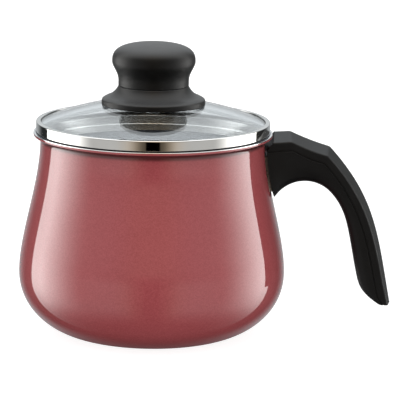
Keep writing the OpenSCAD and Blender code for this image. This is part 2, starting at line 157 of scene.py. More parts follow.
# %% [markdown]
# ## Profiles
# A turned or drawn piece is a profile carried round the axis. Real edges are never dead sharp, so a corner
# is given as a point with a *trim*: how far from the corner the rounding starts. The rounding is a quadratic
# curve whose middle control is the corner itself. One more point on each side, just past the rounding, holds
# the flat faces flat when the shading is smooth.

# %% Curves and rounded corners
def bezier(control, t):
    """Cubic curve: (1-t)^3 a + 3(1-t)^2 t b + 3(1-t) t^2 c + t^3 d."""
    a, b, c, d = np.asarray(control, float)
    t = np.asarray(t, float)[:, None]
    return (1 - t) ** 3 * a + 3 * (1 - t) ** 2 * t * b + 3 * (1 - t) * t ** 2 * c + t ** 3 * d


def quadratic(control, t):
    """Quadratic curve: (1-t)^2 a + 2(1-t) t b + t^2 c."""
    a, b, c = np.asarray(control, float)
    t = np.asarray(t, float)[:, None]
    return (1 - t) ** 2 * a + 2 * (1 - t) * t * b + t ** 2 * c


def set_off(points, distance):
    """Moves a curve square to itself: each point goes along (dz, -dr) / length by the distance."""
    along = np.gradient(points, axis=0)
    side = np.stack([along[:, 1], -along[:, 0]], axis=1)
    return points + distance * side / np.linalg.norm(side, axis=1, keepdims=True)


def soft_corners(points, trims, steps=5):
    """Rounds every corner of (..., corners, 2) outlines, each to steps + 3 points."""
    points = np.asarray(points, float)
    before = np.roll(points, 1, axis=-2) - points
    after = np.roll(points, -1, axis=-2) - points
    long_b = np.linalg.norm(before, axis=-1, keepdims=True)
    long_a = np.linalg.norm(after, axis=-1, keepdims=True)
    room = 0.4 * np.minimum(long_b, long_a)
    trim = np.minimum(np.asarray(trims, float)[..., None], room)
    hold = np.minimum(1.3 * trim, 1.15 * room)
    start, end = points + before / long_b * trim, points + after / long_a * trim
    t = np.linspace(0, 1, steps + 1)[:, None]
    arc = ((1 - t) ** 2 * start[..., None, :] + 2 * (1 - t) * t * points[..., None, :]
           + t ** 2 * end[..., None, :])
    first = (points + before / long_b * hold)[..., None, :]
    last = (points + after / long_a * hold)[..., None, :]
    out = np.concatenate([first, arc, last], axis=-2)
    return out.reshape(points.shape[:-2] + (-1, 2))


def plain(points, tag=0):
    """Points of a sampled curve, which need no rounding: columns are radius, height, trim and finish tag."""
    return np.column_stack([points, np.zeros(len(points)), np.full(len(points), tag)])


def corners(rows, tag=0):
    """Corner points given as (radius, height, trim), with the same finish tag."""
    rows = np.asarray(rows, float)
    return np.column_stack([rows, np.full(len(rows), tag)])


def profile(*parts):
    """Joins the parts of a profile, rounds its corners, and drops points that fall on the one before."""
    joined = np.concatenate(parts)
    steps = 5
    line = soft_corners(joined[:, :2], joined[:, 2], steps)
    tags = np.repeat(joined[:, 3].astype(int), steps + 3)
    keep = np.append(True, np.linalg.norm(np.diff(line, axis=0), axis=1) > 1e-5)
    return line[keep], tags[keep]


def revolve(name, line, tags, ring=False, turns=240):
    """Carries a profile round Z: radius r at height z goes to (r cos a, r sin a, z)."""
    angle = np.arange(turns) * 2 * np.pi / turns
    around = np.stack([np.cos(angle), np.sin(angle)], axis=1)
    flat = line[:, None, :1] * around[None, :, :]
    height = np.broadcast_to(line[:, None, 1:], flat.shape[:2] + (1,))
    return surface(name, np.concatenate([flat, height], axis=2), ring, tags if ring else tags[:-1])


# %% [markdown]
# ## Shader maths
# A material is a small network of nodes. Building one node at a time hides the idea, so one class stands for
# an output socket and lets Python operators add the Math nodes. One method, `node`, makes every other kind.

# %% The wire class and the material maker
class Wire:
    """An output socket that works in expressions, such as 1 - mask * 0.5."""

    def __init__(self, tree, socket=None):
        self.tree = tree
        self.socket = socket

    def node(self, kind, settings=None, sockets=None, out=0):
        """Adds a node of this kind: settings first, then values or wires into its sockets."""
        made = self.tree.nodes.new(kind)
        for key, value in (settings or {}).items():
            if key == "stops":
                ramp = made.color_ramp
                ramp.elements[0].position, ramp.elements[0].color = value[0]
                ramp.elements[1].position, ramp.elements[1].color = value[-1]
                for position, colour in value[1:-1]:
                    ramp.elements.new(position).color = colour
            else:
                setattr(made, key, value)
        for key, value in (sockets or {}).items():
            if isinstance(value, Wire):
                self.tree.links.new(value.socket, made.inputs[key])
            else:
                made.inputs[key].default_value = value
        return Wire(self.tree, made.outputs[out] if len(made.outputs) else None)

    def math(self, operation, first, second=0.0):
        return self.node("ShaderNodeMath", {"operation": operation}, {0: first, 1: second})

    def __add__(self, other):
        return self.math("ADD", self, other)

    __radd__ = __add__

    def __mul__(self, other):
        return self.math("MULTIPLY", self, other)

    __rmul__ = __mul__

    def __sub__(self, other):
        return self.math("SUBTRACT", self, other)

    def __rsub__(self, other):
        return self.math("SUBTRACT", other, self)

    def step(self, low, high):
        """Goes smoothly from 0 at low to 1 at high."""
        settings = {"interpolation_type": "SMOOTHSTEP"}
        return self.node("ShaderNodeMapRange", settings, {"Value": self, "From Min": low, "From Max": high})

    def between(self, low, high):
        """Maps 0..1 to low..high."""
        return self * (high - low) + low

    def mix(self, first, second):
        """Goes from the first colour to the second by this wire's value; each is a wire or four numbers."""
        return self.node("ShaderNodeMix", {"data_type": "RGBA"}, {0: self, 6: first, 7: second}, out=2)

    def colours(self, dark, light):
        """Mixes two colours of three numbers by this wire's value."""
        return self.mix((*dark, 1.0), (*light, 1.0))

    def noise(self, scale, detail=2.0):
        """Soft noise at this wire's place, with features about 1/scale metres wide."""
        return self.node("ShaderNodeTexNoise", None, {"Vector": self, "Scale": scale, "Detail": detail})

    def bump(self, height, depth, strength=1.0):
        """A normal that tilts as if the surface rose by depth metres where height is 1."""
        return self.node("ShaderNodeBump", None, {"Height": height, "Distance": depth, "Strength": strength})


def material(name, build):
    """Makes a material: build takes the wire of Object coordinates and returns the shader's socket values."""
    made = bpy.data.materials.new(name)
    made.use_nodes = True
    tree = made.node_tree
    tree.nodes.clear()
    place = Wire(tree).node("ShaderNodeTexCoord", out="Object")
    shader = place.node("ShaderNodeBsdfPrincipled", None, build(place))
    place.node("ShaderNodeOutputMaterial", None, {"Surface": shader})
    print("finish:", name, "with", len(tree.nodes), "nodes")
    return made


# %% [markdown]
# ## The three finishes of the pan
# Outside, the aluminium has a translucent red coat with fine metal flakes in it and a clear gloss coat on
# top. The flakes tilt the light under the clear coat, which stays smooth, so the bump goes into the normal
# of the base and not of the coat. Inside is a grey non-stick coat with small light specks. The foot is
# turned bare on a lathe, which leaves fine rings, and the top of the rim is trimmed bright.

# %% Red coat
def red_coat(place):
    """Two reds mixed by a random value per flake, with painted shade in the fold under the rim and near the
    foot, where the gloss coat also fades out.
    """
    flake = place.node("ShaderNodeTexVoronoi", None, {"Vector": place, "Scale": 1900.0}, out=1)
    bright = flake.node("ShaderNodeSeparateXYZ", None, {0: flake})
    drift = place.noise(22.0, 1.0)
    base = (bright * 0.75 + drift * 0.5 - 0.12).colours((0.290, 0.054, 0.059), (0.378, 0.080, 0.086))
    height = place.node("ShaderNodeSeparateXYZ", None, {0: place}, out=2)
    # Painted shade: the base colour goes towards black in the fold under the rim and near the foot, and the
    # gloss coat fades out near the foot.
    above_neck = height.step((pan_h - 6.5) * MM, (pan_h - 4.2) * MM)
    at_rim = height.step((pan_h - 2.0) * MM, (pan_h - 1.3) * MM)
    fold_shade = above_neck * (1 - at_rim)
    under = 1 - height.step(0.0, 0.016)
    shade = fold_shade * 0.72 + under * 0.45
    return {"Base Color": shade.mix(base, (0.0, 0.0, 0.0, 1.0)), "Metallic": 0.04, "Roughness": 0.5,
            "Specular IOR Level": 0.06, "Coat Weight": 1.0 - under, "Coat Roughness": 0.02, "Coat IOR": 1.62,
            "Normal": place.bump(place.noise(2300.0, 1.0), 0.00002, 0.4)}


# %% Non-stick inside, bare foot and bright edge
def non_stick(place):
    """Slate grey with light specks where a fine noise passes a threshold."""
    speck = place.noise(1100.0, 0.0).step(0.66, 0.72)
    cloud = place.noise(60.0).between(0.0, 0.35)
    return {"Base Color": (speck * 0.65 + cloud).colours((0.105, 0.128, 0.158), (0.34, 0.37, 0.41)),
            "Roughness": place.noise(400.0).between(0.34, 0.5),
            "Normal": place.bump(place.noise(1500.0), 0.00002)}


def turned(place, dark, light, low, high):
    """Metal with lathe rings: the noise reads only the distance from the axis and the height."""
    across = place.node("ShaderNodeVectorMath", {"operation": "MULTIPLY"}, {0: place, 1: (1.0, 1.0, 0.0)})
    radius = across.node("ShaderNodeVectorMath", {"operation": "LENGTH"}, {0: across}, out=1)
    height = place.node("ShaderNodeSeparateXYZ", None, {0: place}, out=2)
    ring = place.node("ShaderNodeCombineXYZ", None, {0: radius, 1: height, 2: 0.0})
    lines = ring.noise(2600.0, 1.0)
    smudge = place.noise(75.0, 3.0)
    return {"Base Color": (smudge * 0.7 + lines * 0.3).colours(dark, light), "Metallic": 1.0,
            "Roughness": (smudge * 0.4 + lines * 0.6).between(low, high),
            "Normal": place.bump(lines, 0.000004)}


def bare_foot(place):
    return turned(place, (0.55, 0.55, 0.56), (0.74, 0.74, 0.75), 0.3, 0.5)


def bright_edge(place):
    return turned(place, (0.72, 0.72, 0.73), (0.88, 0.88, 0.88), 0.08, 0.2)


red = material("red_coat", red_coat)
grey_inside = material("non_stick_grey", non_stick)
foot_metal = material("bare_turned_foot", bare_foot)
edge_metal = material("trimmed_rim", bright_edge)

# %% [markdown]
# ## The pan
# A flat foot, a tight curve up to the wide belly, a long curve in to the neck, and a quarter arc that turns
# the wall out into the rim. The outer line is drawn once. The inner line is the same line set off by the
# wall's thickness, as the press leaves it, and the two join round the rim's edge and the floor's middle.

# %% Outer and inner lines of the wall
knuckle = [[foot_r, 0], [foot_r + 0.32 * belly_h, 0], [belly_r, 0.32 * belly_h], [belly_r, belly_h]]
rise = neck_h - belly_h
shoulder = [[belly_r, belly_h], [belly_r, belly_h + 0.28 * rise], [neck_r, neck_h - 0.33 * rise],
            [neck_r, neck_h]]
outer_line = np.concatenate([bezier(knuckle, np.linspace(0, 1, 41)),
                             bezier(shoulder, np.linspace(0, 1, 57))[1:]])
inner_line = set_off(outer_line, -wall)


def rim_arc(radius, first=1):
    """A quarter arc outside the neck: centre + radius (cos a, sin a), with a from 180 to 90 degrees."""
    a = np.radians(np.linspace(180, 90, 13)[first:])
    centre = np.array([neck_r + rim_r, neck_h])
    return centre + radius * np.stack([np.cos(a), np.sin(a)], axis=1)


def wall_radius(height):
    """The outer wall's radius at a height, read off the outer line and the arc under the rim."""
    line = np.concatenate([outer_line, rim_arc(rim_r)])
    return np.interp(height, line[:, 1], line[:, 0])


# %% Foot grooves and the whole pan profile
groove_deep = 0.4
groove_places = np.arange(5, 41, 5)
groove = np.linspace(-groove_deep, groove_deep, 7)
groove_r = (groove_places[:, None] + groove[None, :]).ravel()
groove_arc = np.sqrt(groove_deep ** 2 - np.minimum(groove ** 2, groove_deep ** 2))
groove_z = np.tile(groove_arc, len(groove_places))
foot_line = np.concatenate([[[0, 0], [4.0, 0]], np.stack([groove_r, groove_z], axis=1), [[43.2, 0]]])
FOOT, RED, EDGE, INSIDE = 0, 1, 2, 3
pan_line, pan_tags = profile(
    plain(foot_line, FOOT), plain(outer_line, RED), plain(rim_arc(rim_r), RED),
    corners([[rim_out_r, pan_h - wall, 0.6]], RED),
    corners([[rim_out_r, pan_h, 0.65], [rim_out_r - 0.9, pan_h, 0.05]], EDGE),
    plain(rim_arc(rim_r + wall, 0)[::-1], INSIDE), plain(inner_line[::-1], INSIDE),
    plain([[20.0, wall], [0, wall]], INSIDE))
pan = revolve("pan", pan_line, pan_tags)
for finish in (foot_metal, red, edge_metal, grey_inside):
    pan.data.materials.append(finish)
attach(pan, "pan")
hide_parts("pan_body")

# %% [markdown]
# ## Black mouldings
# Handle and knob are phenolic resin, moulded in steel moulds whose faces were spark-eroded to a fine
# matt grain. The grain shows as a bump a few hundredths of a millimetre deep and as a roughness that
# is never quite even. Hands polish the raised parts a little.

# %% Moulded black
def moulded(place, dark, light, low, high, grain, top_light):
    """Matt black: a fine grain in the bump, clouds in the roughness, and painted light that greys what faces
    up.
    """
    cloud = place.noise(130.0, 3.0)
    fine = place.noise(2600.0, 2.0)
    facing = place.node("ShaderNodeNewGeometry", out="Normal")
    # Painted light: the colour turns light grey as the normal points up, so tops read lighter.
    dust = facing.node("ShaderNodeSeparateXYZ", None, {0: facing}, out=2).step(0.35, 1.0) * top_light
    clean = (cloud * 0.6 + fine * 0.4).colours(dark, light)
    return {"Base Color": dust.mix(clean, (0.6, 0.61, 0.62, 1.0)),
            "Roughness": (cloud * 0.5 + fine * 0.5).between(low, high),
            "Specular IOR Level": 0.26,
            "Normal": place.bump(fine, grain)}


def handle_finish(place):
    return moulded(place, (0.003, 0.003, 0.003), (0.007, 0.0075, 0.008), 0.36, 0.56, 0.00003, 0.01)


def knob_finish(place):
    return moulded(place, (0.0015, 0.0015, 0.0015), (0.004, 0.004, 0.004), 0.36, 0.52, 0.000025, 0.09)


handle_black = material("handle_black_moulded", handle_finish)
knob_black = material("knob_black_moulded", knob_finish)

# %% [markdown]
# ## The handle's two halves
# The handle is carried along two lines: the outer ridge and the inner side that the fingers touch. At each
# station the section lies between one point on each. The cover is the outer half, a low roof with a ridge
# line, two edges and a flat underside. The body is the inner half, rounded for the fingers. A groove
# separates them. The stations are numbered as in the CAD, 0 at the pan and 30 at the lower end, but there
# are 205 and not 31, so that the curves are smooth and the two creases of the ridge are small radii.

# %% Ridge and inner side
corner1 = np.array([neck_r + 14.7, pan_h + 1.6])
corner2 = np.array([neck_r + 39.2, pan_h - 7.6])
tip = np.array([neck_r + 78.2, 18.6])
arch_c = np.array([neck_r + 24.1, pan_h - 49.9])
arch_r = 21.5
heel = tip - [7.6, 0]
grip_end = tip + [-20.4, 15]
LAST = 30


def arch(angle):
    """A point of the finger arch: centre + radius (cos a, sin a), with the angle in degrees."""
    a = np.radians(np.asarray(angle, float))
    return arch_c + arch_r * np.stack([np.cos(a), np.sin(a)], axis=-1)


def ridge(s):
    """The outer line at station numbers s: over the pan, the knee to the second corner, then the fall."""
    knots = np.array([[neck_r - 2, corner1[1] - 1], [arch(150)[0], corner1[1] - 0.5],
                      [arch(128)[0], corner1[1] - 0.25], corner1])
    root = np.stack([np.interp(s, range(4), knots[:, k]) for k in (0, 1)], axis=1)
    middle = (corner1 + corner2) / 2 + [0.5, -1.3]
    knee = quadratic([corner1, middle, corner2], (s - 3) / 5)
    fall = tip - corner2
    pull = [corner2, corner2 + [0.74, 0.32] * fall, corner2 + [0.79, 0.55] * fall, tip]
    share = np.interp(s, [8, 12, 24, 30], [0, 0.13, 0.85, 1])
    return np.where(s[:, None] < 3, root, np.where(s[:, None] < 8, knee, bezier(pull, share)))


def inner_side(s):
    """The inner line at station numbers s: the lug, the finger arch, the grip and the heel."""
    angle = np.interp(s, [1, 2, 3, 8, 12], [150, 128, 105, 75, 45])
    lug_start = np.array([neck_r - 2, arch(150)[1] - 4.6])
    lug = lug_start + (arch(150) - lug_start) * s[:, None]
    start = arch(45)
    drop = start[1] - grip_end[1]
    leave = [0.23 * drop, -0.23 * drop]
    arrive = [-0.23 * 0.44 * drop, 0.44 * drop]
    pull = [start, start + leave, grip_end + arrive, grip_end]
    grip = bezier(pull, (s - 12) / 12)
    end = quadratic([grip_end, [grip_end[0] + 1.5, tip[1] + 7], heel], (s - 24) / 6)
    at = s[:, None]
    return np.where(at < 1, lug, np.where(at < 12, arch(angle), np.where(at < 24, grip, end)))


def soften(line, passes):
    """Each inner point becomes half itself plus a quarter of each neighbour, which rounds the corners."""
    line = line.copy()
    for _ in range(passes):
        line[1:-1] = 0.25 * line[:-2] + 0.5 * line[1:-1] + 0.25 * line[2:]
    return line


number = np.concatenate([np.linspace(0, 3, 25)[:-1], np.linspace(3, 8, 41)[:-1], np.linspace(8, 12, 31)[:-1],
                         np.linspace(12, 24, 71)[:-1], np.linspace(24, 30, 41)])
ridge_line = soften(ridge(number), 4)
inner_side_line = soften(inner_side(number), 4)
print("handle stations", len(number))


# %% Sections of the cover and the body
share = number / LAST
depth = np.linalg.norm(inner_side_line - ridge_line, axis=1)
root_half, tip_half = 14, 9.6
root_joint, tip_joint = 10, 6.8
root_edge, tip_edge = 6, 2.1
half = root_half + (tip_half - root_half) * share ** 0.8
joint = np.minimum(root_joint + (tip_joint - root_joint) * share, 0.56 * depth)
edge = np.minimum(root_edge + (tip_edge - root_edge) * share, 0.5 * joint)
body_deep = depth - joint
groove_w = np.minimum(1.0, body_deep / 4)


def section(rows):
    """Stacks (width, depth) pairs into (stations, corners, 2) and adds the mirrored side in reverse."""
    near = np.stack([np.stack(np.broadcast_arrays(w, d), axis=-1) for w, d in rows], axis=1)
    far = near[:, ::-1] * [-1, 1]
    return np.concatenate([near, far], axis=1)


def place_section(points):
    """A section point at width w and depth d goes to ridge + d * (inward direction), with w along Y."""
    inward = (inner_side_line - ridge_line) / depth[:, None]
    flat = ridge_line[:, None, :] + points[..., 1:] * inward[:, None, :]
    return np.stack([flat[..., 0], points[..., 0], flat[..., 1]], axis=-1)


cover_near = section([(half, edge), (half, joint)])
cover_ridge = np.zeros((len(number), 1, 2))
cover_rings = place_section(soft_corners(np.concatenate([cover_ridge, cover_near], axis=1),
                                         [1.6, 0.9, 0.35, 0.35, 0.9], 6))
body_rings = place_section(soft_corners(
    section([(half - 0.8, joint + 0.03), (half - 0.8, joint + groove_w), (half, joint + groove_w),
             (half * 0.95, joint + body_deep * 0.55), (half * 0.82, joint + body_deep * 0.86),
             (half * 0.55, depth)]),
    [0.1, 0.1, 0.5, 4, 3, 3, 3, 3, 4, 0.5, 0.1, 0.1], 6))


# %% [markdown]
# The inner end of the handle fits the pan's wall with a small even gap. Every lengthwise line of the skin is
# followed until it leaves the space round the pan, and starts there, so the end needs no cutting.

# %% Fitting the handle to the pan
def clear_radius(height):
    """The smallest radius the handle may reach: the wall plus its gap, and a little past the rim above it."""
    gap = wall_radius(height) + 1.5
    past = rim_out_r + 0.75
    mix = np.clip((height - (neck_h - 2.5)) / 2.5, 0, 1)
    return gap * (1 - mix) + np.maximum(gap, past) * mix


def on_clear_surface(points):
    """Moves points along X onto the surface round the pan: x = sqrt(R(z)^2 - y^2)."""
    out = points.copy()
    out[..., 0] = np.sqrt(clear_radius(points[..., 2]) ** 2 - points[..., 1] ** 2)
    return out


def fit_to_pan(rings, outside=30):
    """Starts each lengthwise line where it crosses the surface, and spreads the first rings evenly."""
    reach = np.hypot(rings[:outside, :, 0], rings[:outside, :, 1]) - clear_radius(rings[:outside, :, 2])
    last_inside = outside - 1 - np.argmax((reach < 0)[::-1], axis=0)
    column = np.arange(rings.shape[1])
    a, b = reach[last_inside, column], reach[last_inside + 1, column]
    start = last_inside + a / (a - b)
    at = start + (outside - start) * np.linspace(0, 1, outside + 1)[:, None]
    low = np.minimum(at.astype(int), outside - 1)
    mix = (at - low)[..., None]
    fitted = rings[low, column] * (1 - mix) + rings[low + 1, column] * mix
    fitted[0] = on_clear_surface(fitted[0])
    return np.concatenate([fitted, rings[outside + 1:]])


def close_ends(rings, round_off=0.5):
    """Adds a curved end at the pan, a rounded flat end at the far side, and a pole in the middle of each."""
    first, last = rings[0], rings[-1]
    shrink = np.array([0.0, 0.25, 0.5, 0.75, 0.95])[:, None, None]
    middle = first.mean(axis=0)
    start = on_clear_surface(middle + (first - middle) * shrink)
    centre = last.mean(axis=0)
    out = last - centre
    size = np.linalg.norm(out, axis=1, keepdims=True)
    a = np.radians(np.array([30.0, 60.0, 90.0]))[:, None, None]
    inset = 1 - round_off * (1 - np.cos(a)) / size
    lift = np.array([0, 0, 1.0]) * round_off
    rounded = centre + lift + out * inset - lift * np.sin(a)
    flat = centre + out * (inset[-1] * np.array([0.6, 0.25, 0.0])[:, None, None])
    shifted = last + lift
    return np.concatenate([start, rings[:-1], shifted[None], rounded, flat])


cover = surface("handle_cover_smooth", close_ends(fit_to_pan(cover_rings)))
body = surface("handle_body_smooth", close_ends(fit_to_pan(body_rings)))


# %% [markdown]
# ## Holes in a smooth piece
# The screw comes up from the finger arch through a counterbore, so the body needs real bores for the screw,
# the bracket's tongue, the nut and the bracket's plate. Each one is a closed cutter taken away with an exact
# boolean, and the result becomes the mesh. Edges sharper than 35 degrees are then kept sharp.

# %% Cutting tools
def carve(piece, cutters):
    """Takes closed cutters away from a piece and keeps the sharp edges sharp."""
    for cutter in cutters:
        cut = piece.modifiers.new("cut", "BOOLEAN")
        cut.operation = "DIFFERENCE"
        cut.solver = "EXACT"
        cut.object = cutter
        seen = piece.evaluated_get(bpy.context.evaluated_depsgraph_get())
        carved = bpy.data.meshes.new_from_object(seen)
        piece.modifiers.clear()
        piece.data = carved
        bpy.data.objects.remove(cutter)
    piece.data.set_sharp_from_angle(angle=math.radians(35))
    print(piece.name, "after cutting:", len(piece.data.polygons), "faces")


def bore(x, low, high, radius, sides=64):
    """A closed upright cutter at x: rings of radius r at two heights, with a pole at each end."""
    a = np.arange(sides) * 2 * np.pi / sides
    ring = np.stack([x + radius * np.cos(a), radius * np.sin(a), np.zeros(sides)], axis=1)
    rows = [np.tile([x, 0, 0.0], (sides, 1)), ring, ring, np.tile([x, 0, 0.0], (sides, 1))]
    grid = np.stack(rows) + np.array([low, low, high, high])[:, None, None] * [0, 0, 1]
    return surface("cutter", grid)


screw_x = neck_r + 17
tongue_low = pan_h - 17.9
tongue_high = tongue_low + 3
seat_z = tongue_low - 6
tongue_end = screw_x + 7.2
tongue_half = 6.7
plate_top = pan_h - 13
plate_h = 21.4
room = 0.2
plate_z = (plate_top - plate_h - room, plate_top + room)
arch_low = 60
head_bore_r = 5.45
screw_bore_r = 2.75
nut_half = 4
nut_bore_r = nut_half / math.cos(math.pi / 6) + room


def slot_box(low, high):
    """A closed box cutter between two corners, as four rows of four points with poles at both ends."""
    x = np.array([low[0], high[0], high[0], low[0]])
    y = np.array([low[1], low[1], high[1], high[1]])
    ring = np.stack([x, y, np.full(4, low[2])], axis=1)
    top = ring + [0, 0, high[2] - low[2]]
    rows = [np.tile(ring.mean(axis=0), (4, 1)), ring, top, np.tile(top.mean(axis=0), (4, 1))]
    return surface("cutter", np.stack(rows))


def plate_recess():
    """A bent slab from 0.5 to 2.3 mm off the wall: x = sqrt((R(z) + off)^2 - y^2)."""
    z = np.linspace(*plate_z, 12)
    y = np.linspace(-10.2, 10.2, 9)
    deep = []
    for off in (0.5, 2.3):
        reach = np.sqrt((wall_radius(z)[:, None] + off) ** 2 - y[None, :] ** 2)
        wide = np.broadcast_to(y, reach.shape)
        high = np.broadcast_to(z[:, None], reach.shape)
        deep.append(np.stack([reach, wide, high], axis=-1))
    loop = np.concatenate([deep[0], deep[1][:, ::-1]], axis=1)
    ends = [np.repeat(loop[k].mean(axis=0)[None], loop.shape[1], axis=0)[None] for k in (0, -1)]
    return surface("cutter", np.concatenate([ends[0], loop, ends[1]]))


carve(body, [bore(screw_x, arch_low, seat_z, head_bore_r),
             bore(screw_x, seat_z - 1, tongue_high + 8, screw_bore_r),
             slot_box((neck_r, -tongue_half, tongue_low - room),
                      (tongue_end, tongue_half, tongue_high + room)),
             bore(screw_x, tongue_high, tongue_high + 12, nut_bore_r, 6),
             plate_recess()])
for piece, node in ((cover, "handle_cover"), (body, "handle_body")):
    piece.data.materials.clear()
    piece.data.materials.append(handle_black)
    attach(piece, "pan")
    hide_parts(node)

# %% [markdown]
# ## The lid's steel band
# One strip of stainless steel, rolled to a ring: a skirt that hangs inside the neck, narrows a little
# downwards and is stepped in halfway, so that it drops in easily, a flange that rests on the rim, an upright
# wall, and a lip folded over the glass. The bends of a folded sheet are small radii, and they carry the thin
# bright lines that make it read as steel. At the wall's foot the fold leaves a fine rebate above the rim,
# whose faces are painted near-black as painted shade for that deep crevice. The skirt's slope makes it show
# the room in front of the pan.

# %% Glass and steel finishes
def polished_steel(place):
    return turned(place, (0.60, 0.595, 0.58), (0.72, 0.715, 0.70), 0.03, 0.085)


def pressed_steel(place):
    """Zinc-plated or stainless fittings: satin, with small scratches."""
    scratch = place.noise(900.0, 4.0)
    return {"Base Color": place.noise(200.0).colours((0.55, 0.56, 0.57), (0.75, 0.75, 0.74)), "Metallic": 1.0,
            "Roughness": scratch.between(0.18, 0.42), "Normal": place.bump(scratch, 0.00001)}


def rivet_metal(place):
    """Aluminium rivets, a little dull from the setting tool."""
    dent = place.noise(1300.0, 2.0)
    return {"Base Color": dent.colours((0.66, 0.66, 0.67), (0.84, 0.84, 0.85)), "Metallic": 1.0,
            "Roughness": place.noise(500.0).between(0.3, 0.5), "Normal": place.bump(dent, 0.00002)}


def turned_brass(place):
    """Brass that was turned and knurled, with a darker tarnish in patches."""
    patch = place.noise(320.0, 3.0)
    return {"Base Color": patch.colours((0.52, 0.36, 0.13), (0.82, 0.64, 0.31)), "Metallic": 1.0,
            "Roughness": patch.between(0.2, 0.4), "Normal": place.bump(place.noise(2500.0), 0.00001)}


def rolled_steel(place):
    """The skirt keeps the rolling mill's satin face, with fine streaks."""
    streak = place.noise(300.0, 3.0)
    return {"Base Color": streak.colours((0.50, 0.50, 0.49), (0.60, 0.60, 0.59)), "Metallic": 1.0,
            "Roughness": streak.between(0.17, 0.27)}


def crevice_shade_finish(place):
    """Painted shade: near-black steel on the rebate's faces, in place of the shade deep in that crevice."""
    return {"Base Color": place.noise(500.0).colours((0.008, 0.008, 0.008), (0.016, 0.015, 0.014)),
            "Roughness": 0.7, "Specular IOR Level": 0.1}


def silicone(place):
    """Milky silicone rubber with a dusty surface."""
    dust = place.noise(900.0, 3.0)
    return {"Base Color": dust.colours((0.62, 0.62, 0.58), (0.82, 0.82, 0.78)),
            "Roughness": dust.between(0.45, 0.65), "Normal": place.bump(dust, 0.00001)}


steel = material("polished_steel_band", polished_steel)
fitting_steel = material("pressed_steel_fittings", pressed_steel)
rivet_alloy = material("rivet_aluminium", rivet_metal)
brass = material("turned_brass_insert", turned_brass)
rubber = material("milky_silicone", silicone)
crevice_shade = material("painted_crevice_shade", crevice_shade_finish)
satin = material("rolled_steel_skirt", rolled_steel)

# %% Heights of the glass
under_r = dome_r - glass_t
seat = pan_h + 0.05
flange_top = seat + band_t
dome_z = flange_top + fit_gap - math.sqrt(under_r ** 2 - glass_r ** 2)


def glass_z(radius, sphere=dome_r):
    """Height of a sphere of the glass at a radius: centre + sqrt(R^2 - r^2)."""
    return dome_z + np.sqrt(sphere ** 2 - np.asarray(radius, float) ** 2)


print(f"glass: edge {glass_z(glass_r):.2f}, apex {glass_z(0):.2f}, CAD apex {glass_high.z / MM:.2f}")

# %% The band
skirt_r = neck_r - wall - skirt_gap
lip_in = band_r - lip_w
wall_in = band_r - band_t
step_z = seat - skirt_step_down
step_r = skirt_r - skirt_taper * skirt_step_down / skirt_h
end_r = skirt_r - skirt_taper - skirt_step
root_r = band_r - 0.45
root_top = seat + 0.62
wall_low = seat + 0.7
POLISHED, CREVICE_SHADE, ROLLED = 0, 1, 2
skirt_outside = corners([(end_r - band_t, seat - skirt_h, 0.28), (end_r, seat - skirt_h, 0.28),
                         (step_r - skirt_step, step_z - band_t, 0.3), (step_r, step_z, 0.3),
                         (skirt_r, seat, 0.25)], ROLLED)
# Painted shade: the rebate's faces take the near-black finish that stands in for the crevice's shade.
root = corners([(root_r, seat, 0.06), (root_r, root_top, 0.06)], CREVICE_SHADE)
wall_and_lip = corners([(band_r, wall_low, 0.22), (band_r, band_top, 0.75), (lip_in, band_top, 0.25),
                        (lip_in, glass_z(lip_in) + fit_gap, 0.12),
                        (wall_in, glass_z(wall_in) + fit_gap, 0.1), (wall_in, flange_top, 0.08)], POLISHED)
skirt_inside = corners([(skirt_r - band_t, flange_top, 0.3), (step_r - band_t, step_z + band_t / 2, 0.2),
                        (step_r - skirt_step - band_t, step_z - band_t / 2, 0.2)], ROLLED)
band_line, band_tags = profile(skirt_outside, root, wall_and_lip, skirt_inside)
band = revolve("band", band_line, band_tags, ring=True)
for finish in (steel, crevice_shade, satin):
    band.data.materials.append(finish)
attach(band, "lid")
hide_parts("lid_band")


# %% [markdown]
# ## The glass
# Tempered soda-lime glass, 4 mm thick, pressed to a part of a sphere, with a hole for the knob and a small
# one for the steam vent. It is a solid with two faces, so light bends where it enters and leaves. Light that
# goes through it to the food, and the shadow it throws, would need many samples to trace exactly. For those
# rays alone the glass is plain see-through, as a window is.

# %% Glass material
def clear_glass():
    """Principled glass for what the eye sees, and a tinted transparent shader for shadow and diffuse rays."""
    made = bpy.data.materials.new("tempered_glass")
    made.use_nodes = True
    tree = made.node_tree
    tree.nodes.clear()
    place = Wire(tree).node("ShaderNodeTexCoord", out="Object")
    ripple = place.noise(35.0, 1.0)
    seen = place.node("ShaderNodeBsdfPrincipled", None, {
        "Base Color": place.noise(18.0).colours((0.93, 0.965, 0.985), (0.955, 0.98, 0.995)),
        "Roughness": 0.0, "IOR": 1.52, "Transmission Weight": 1.0,
        "Normal": place.bump(ripple, 0.00001)})
    passed = place.node("ShaderNodeBsdfTransparent", None, {"Color": (0.88, 0.92, 0.94, 1.0)})
    shadow = place.node("ShaderNodeLightPath", out="Is Shadow Ray")
    spread = place.node("ShaderNodeLightPath", out="Is Diffuse Ray")
    share = shadow.math("MAXIMUM", shadow, spread)
    mixed = place.node("ShaderNodeMixShader", None, {0: share, 1: seen, 2: passed})
    place.node("ShaderNodeOutputMaterial", None, {"Surface": mixed})
    return made


glass_clear = clear_glass()

# %% The dome and its two holes
hole_r = 4.5
top_r = np.linspace(hole_r, glass_r, 60)
under = np.linspace(glass_r, hole_r, 60)
edge_r = 0.5
top_arc = np.stack([top_r[1:-1], glass_z(top_r[1:-1])], axis=1)
under_arc = np.stack([under[1:-1], glass_z(under[1:-1], under_r)], axis=1)
glass_line, glass_tags = profile(
    corners([(hole_r, glass_z(hole_r), 0.4)]), plain(top_arc),
    corners([(glass_r, glass_z(glass_r), edge_r), (glass_r, glass_z(glass_r, under_r), edge_r)]),
    plain(under_arc), corners([(hole_r, glass_z(hole_r, under_r), 0.4)]))
glass = revolve("glass_dome", glass_line, glass_tags, ring=True)


